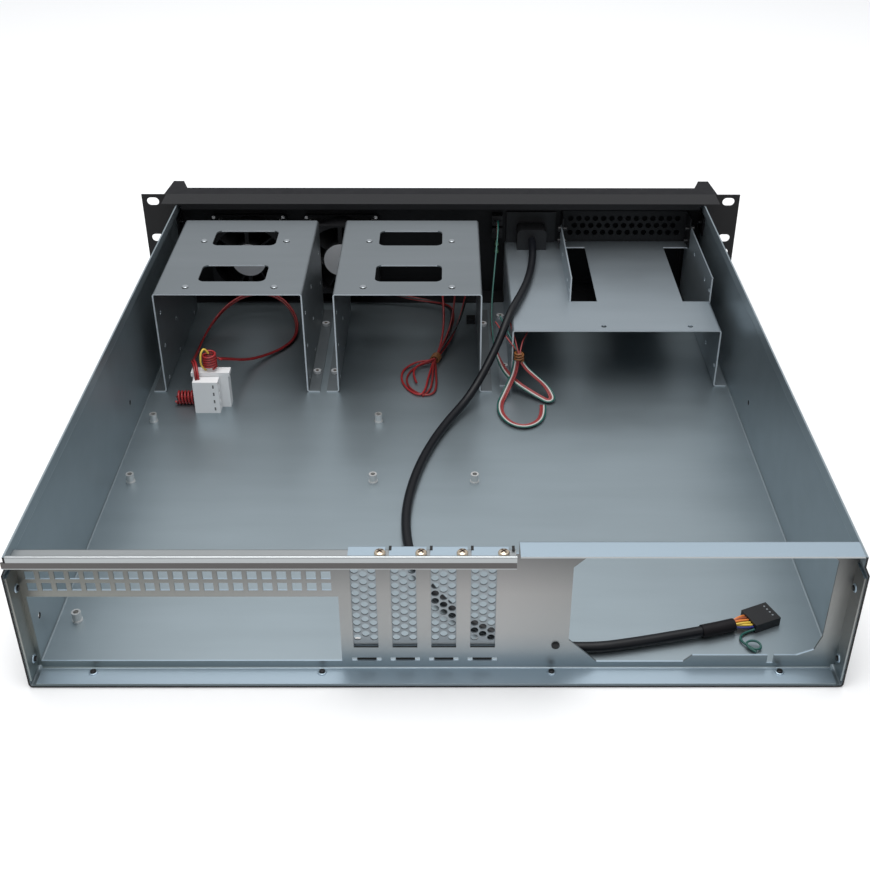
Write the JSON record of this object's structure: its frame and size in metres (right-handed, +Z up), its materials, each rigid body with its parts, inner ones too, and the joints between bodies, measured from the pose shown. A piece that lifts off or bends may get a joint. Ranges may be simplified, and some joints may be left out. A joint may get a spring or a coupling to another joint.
{
  "type": "empty rackmount server case",
  "caption": "Short-depth rackmount server case without its lid: folded tray with rear card slots, drive cages, fans and a moulded front with rack ears.",
  "frame": {"origin": "under the middle of the case, on the surface that it stands on", "axes": "+X across the width, +Y from the front to the rear, +Z up"},
  "size_m": [0.4826, 0.4868, 0.0881],
  "materials": {
    "zinc_sheet": "zinc-plated steel, satin",
    "tray_sheet": "zinc-plated steel, black powder coat outside",
    "black_sheet": "fine-textured black powder coat",
    "black_screws": "black oxide",
    "brassy_screws": "yellow-passivated zinc",
    "zinc_screws": "bright zinc",
    "standoff_metal": "bright zinc",
    "bezel_plastic": "dark grey moulded plastic, fine texture",
    "fan_plastic": "black moulded plastic",
    "label_foil": "bare silver-grey sticker",
    "button_plastic": "moulded plastic",
    "switch_plastic": "black moulded plastic",
    "lamp_plastic": "tinted clear plastic",
    "socket_metal": "nickel plated",
    "cable_jacket": "soft black jacket, semi-gloss",
    "lead_jacket": "soft jacket",
    "plug_plastic": "natural white nylon",
    "tie_plastic": "coated wire tie"
  },
  "bodies": {
    "case": {"bay_blank": "black_sheet", "bay_blank_screws": "zinc_screws", "bay_bracket": "zinc_sheet", "board_standoffs": "standoff_metal", "bracket_screws": "zinc_screws", "cage_screws": "zinc_screws", "chassis_tray": "tray_sheet", "coil_outer": "lead_jacket", "coil_side": "lead_jacket", "drive_cage_inner": "zinc_sheet", "drive_cage_outer": "zinc_sheet", "end_cap_left": "bezel_plastic", "end_cap_right": "bezel_plastic", "fan_frame_inner": "fan_plastic", "fan_frame_outer": "fan_plastic", "fan_labels": "label_foil", "fan_screws": "zinc_screws", "front_bezel": "bezel_plastic", "front_panel": "black_sheet", "front_side_screws": "black_screws", "indicator_lamps": "lamp_plastic", "inner_hank": "lead_jacket", "large_bay_cover": "bezel_plastic", "lead_inner": "lead_jacket", "lead_loop": "lead_jacket", "lead_outer": "lead_jacket", "lead_switch": "lead_jacket", "power_plug_front": "plug_plastic", "power_plug_rear": "plug_plastic", "power_switch": "switch_plastic", "rear_panel": "zinc_sheet", "rear_panel_screws": "black_screws", "reset_switch": "switch_plastic", "slot_blank_1": "zinc_sheet", "slot_blank_2": "zinc_sheet", "slot_blank_3": "zinc_sheet", "slot_blank_4": "zinc_sheet", "slot_screws": "brassy_screws", "small_bay_cover": "bezel_plastic", "tie_front": "tie_plastic", "tie_inner": "tie_plastic", "usb_cable": "cable_jacket", "usb_header_leads": "lead_jacket", "usb_header_plug": "cable_jacket", "usb_holder": "switch_plastic", "usb_sleeve": "cable_jacket", "usb_socket": "socket_metal"},
    "fan_rotor_outer": {"fan_rotor_outer": "fan_plastic"},
    "fan_rotor_inner": {"fan_rotor_inner": "fan_plastic"},
    "power_button": {"power_button": "button_plastic"},
    "reset_button": {"reset_button": "button_plastic"}
  },
  "joints": [
    {"name": "fan_outer_spin", "type": "hinge", "parent": "case", "child": "fan_rotor_outer", "pos_m": [0.1552, -0.2004, 0.042], "axis": [0, 1, 0], "continuous": true},
    {"name": "fan_inner_spin", "type": "hinge", "parent": "case", "child": "fan_rotor_inner", "pos_m": [0.0806, -0.2004, 0.042], "axis": [0, 1, 0], "continuous": true},
    {"name": "power_button_press", "type": "slide", "parent": "case", "child": "power_button", "axis": [0, 1, 0], "range_m": [0, 0.0015], "stiffness_N_per_m": 300},
    {"name": "reset_button_press", "type": "slide", "parent": "case", "child": "reset_button", "axis": [0, 1, 0], "range_m": [0, 0.0015], "stiffness_N_per_m": 300}
  ]
}
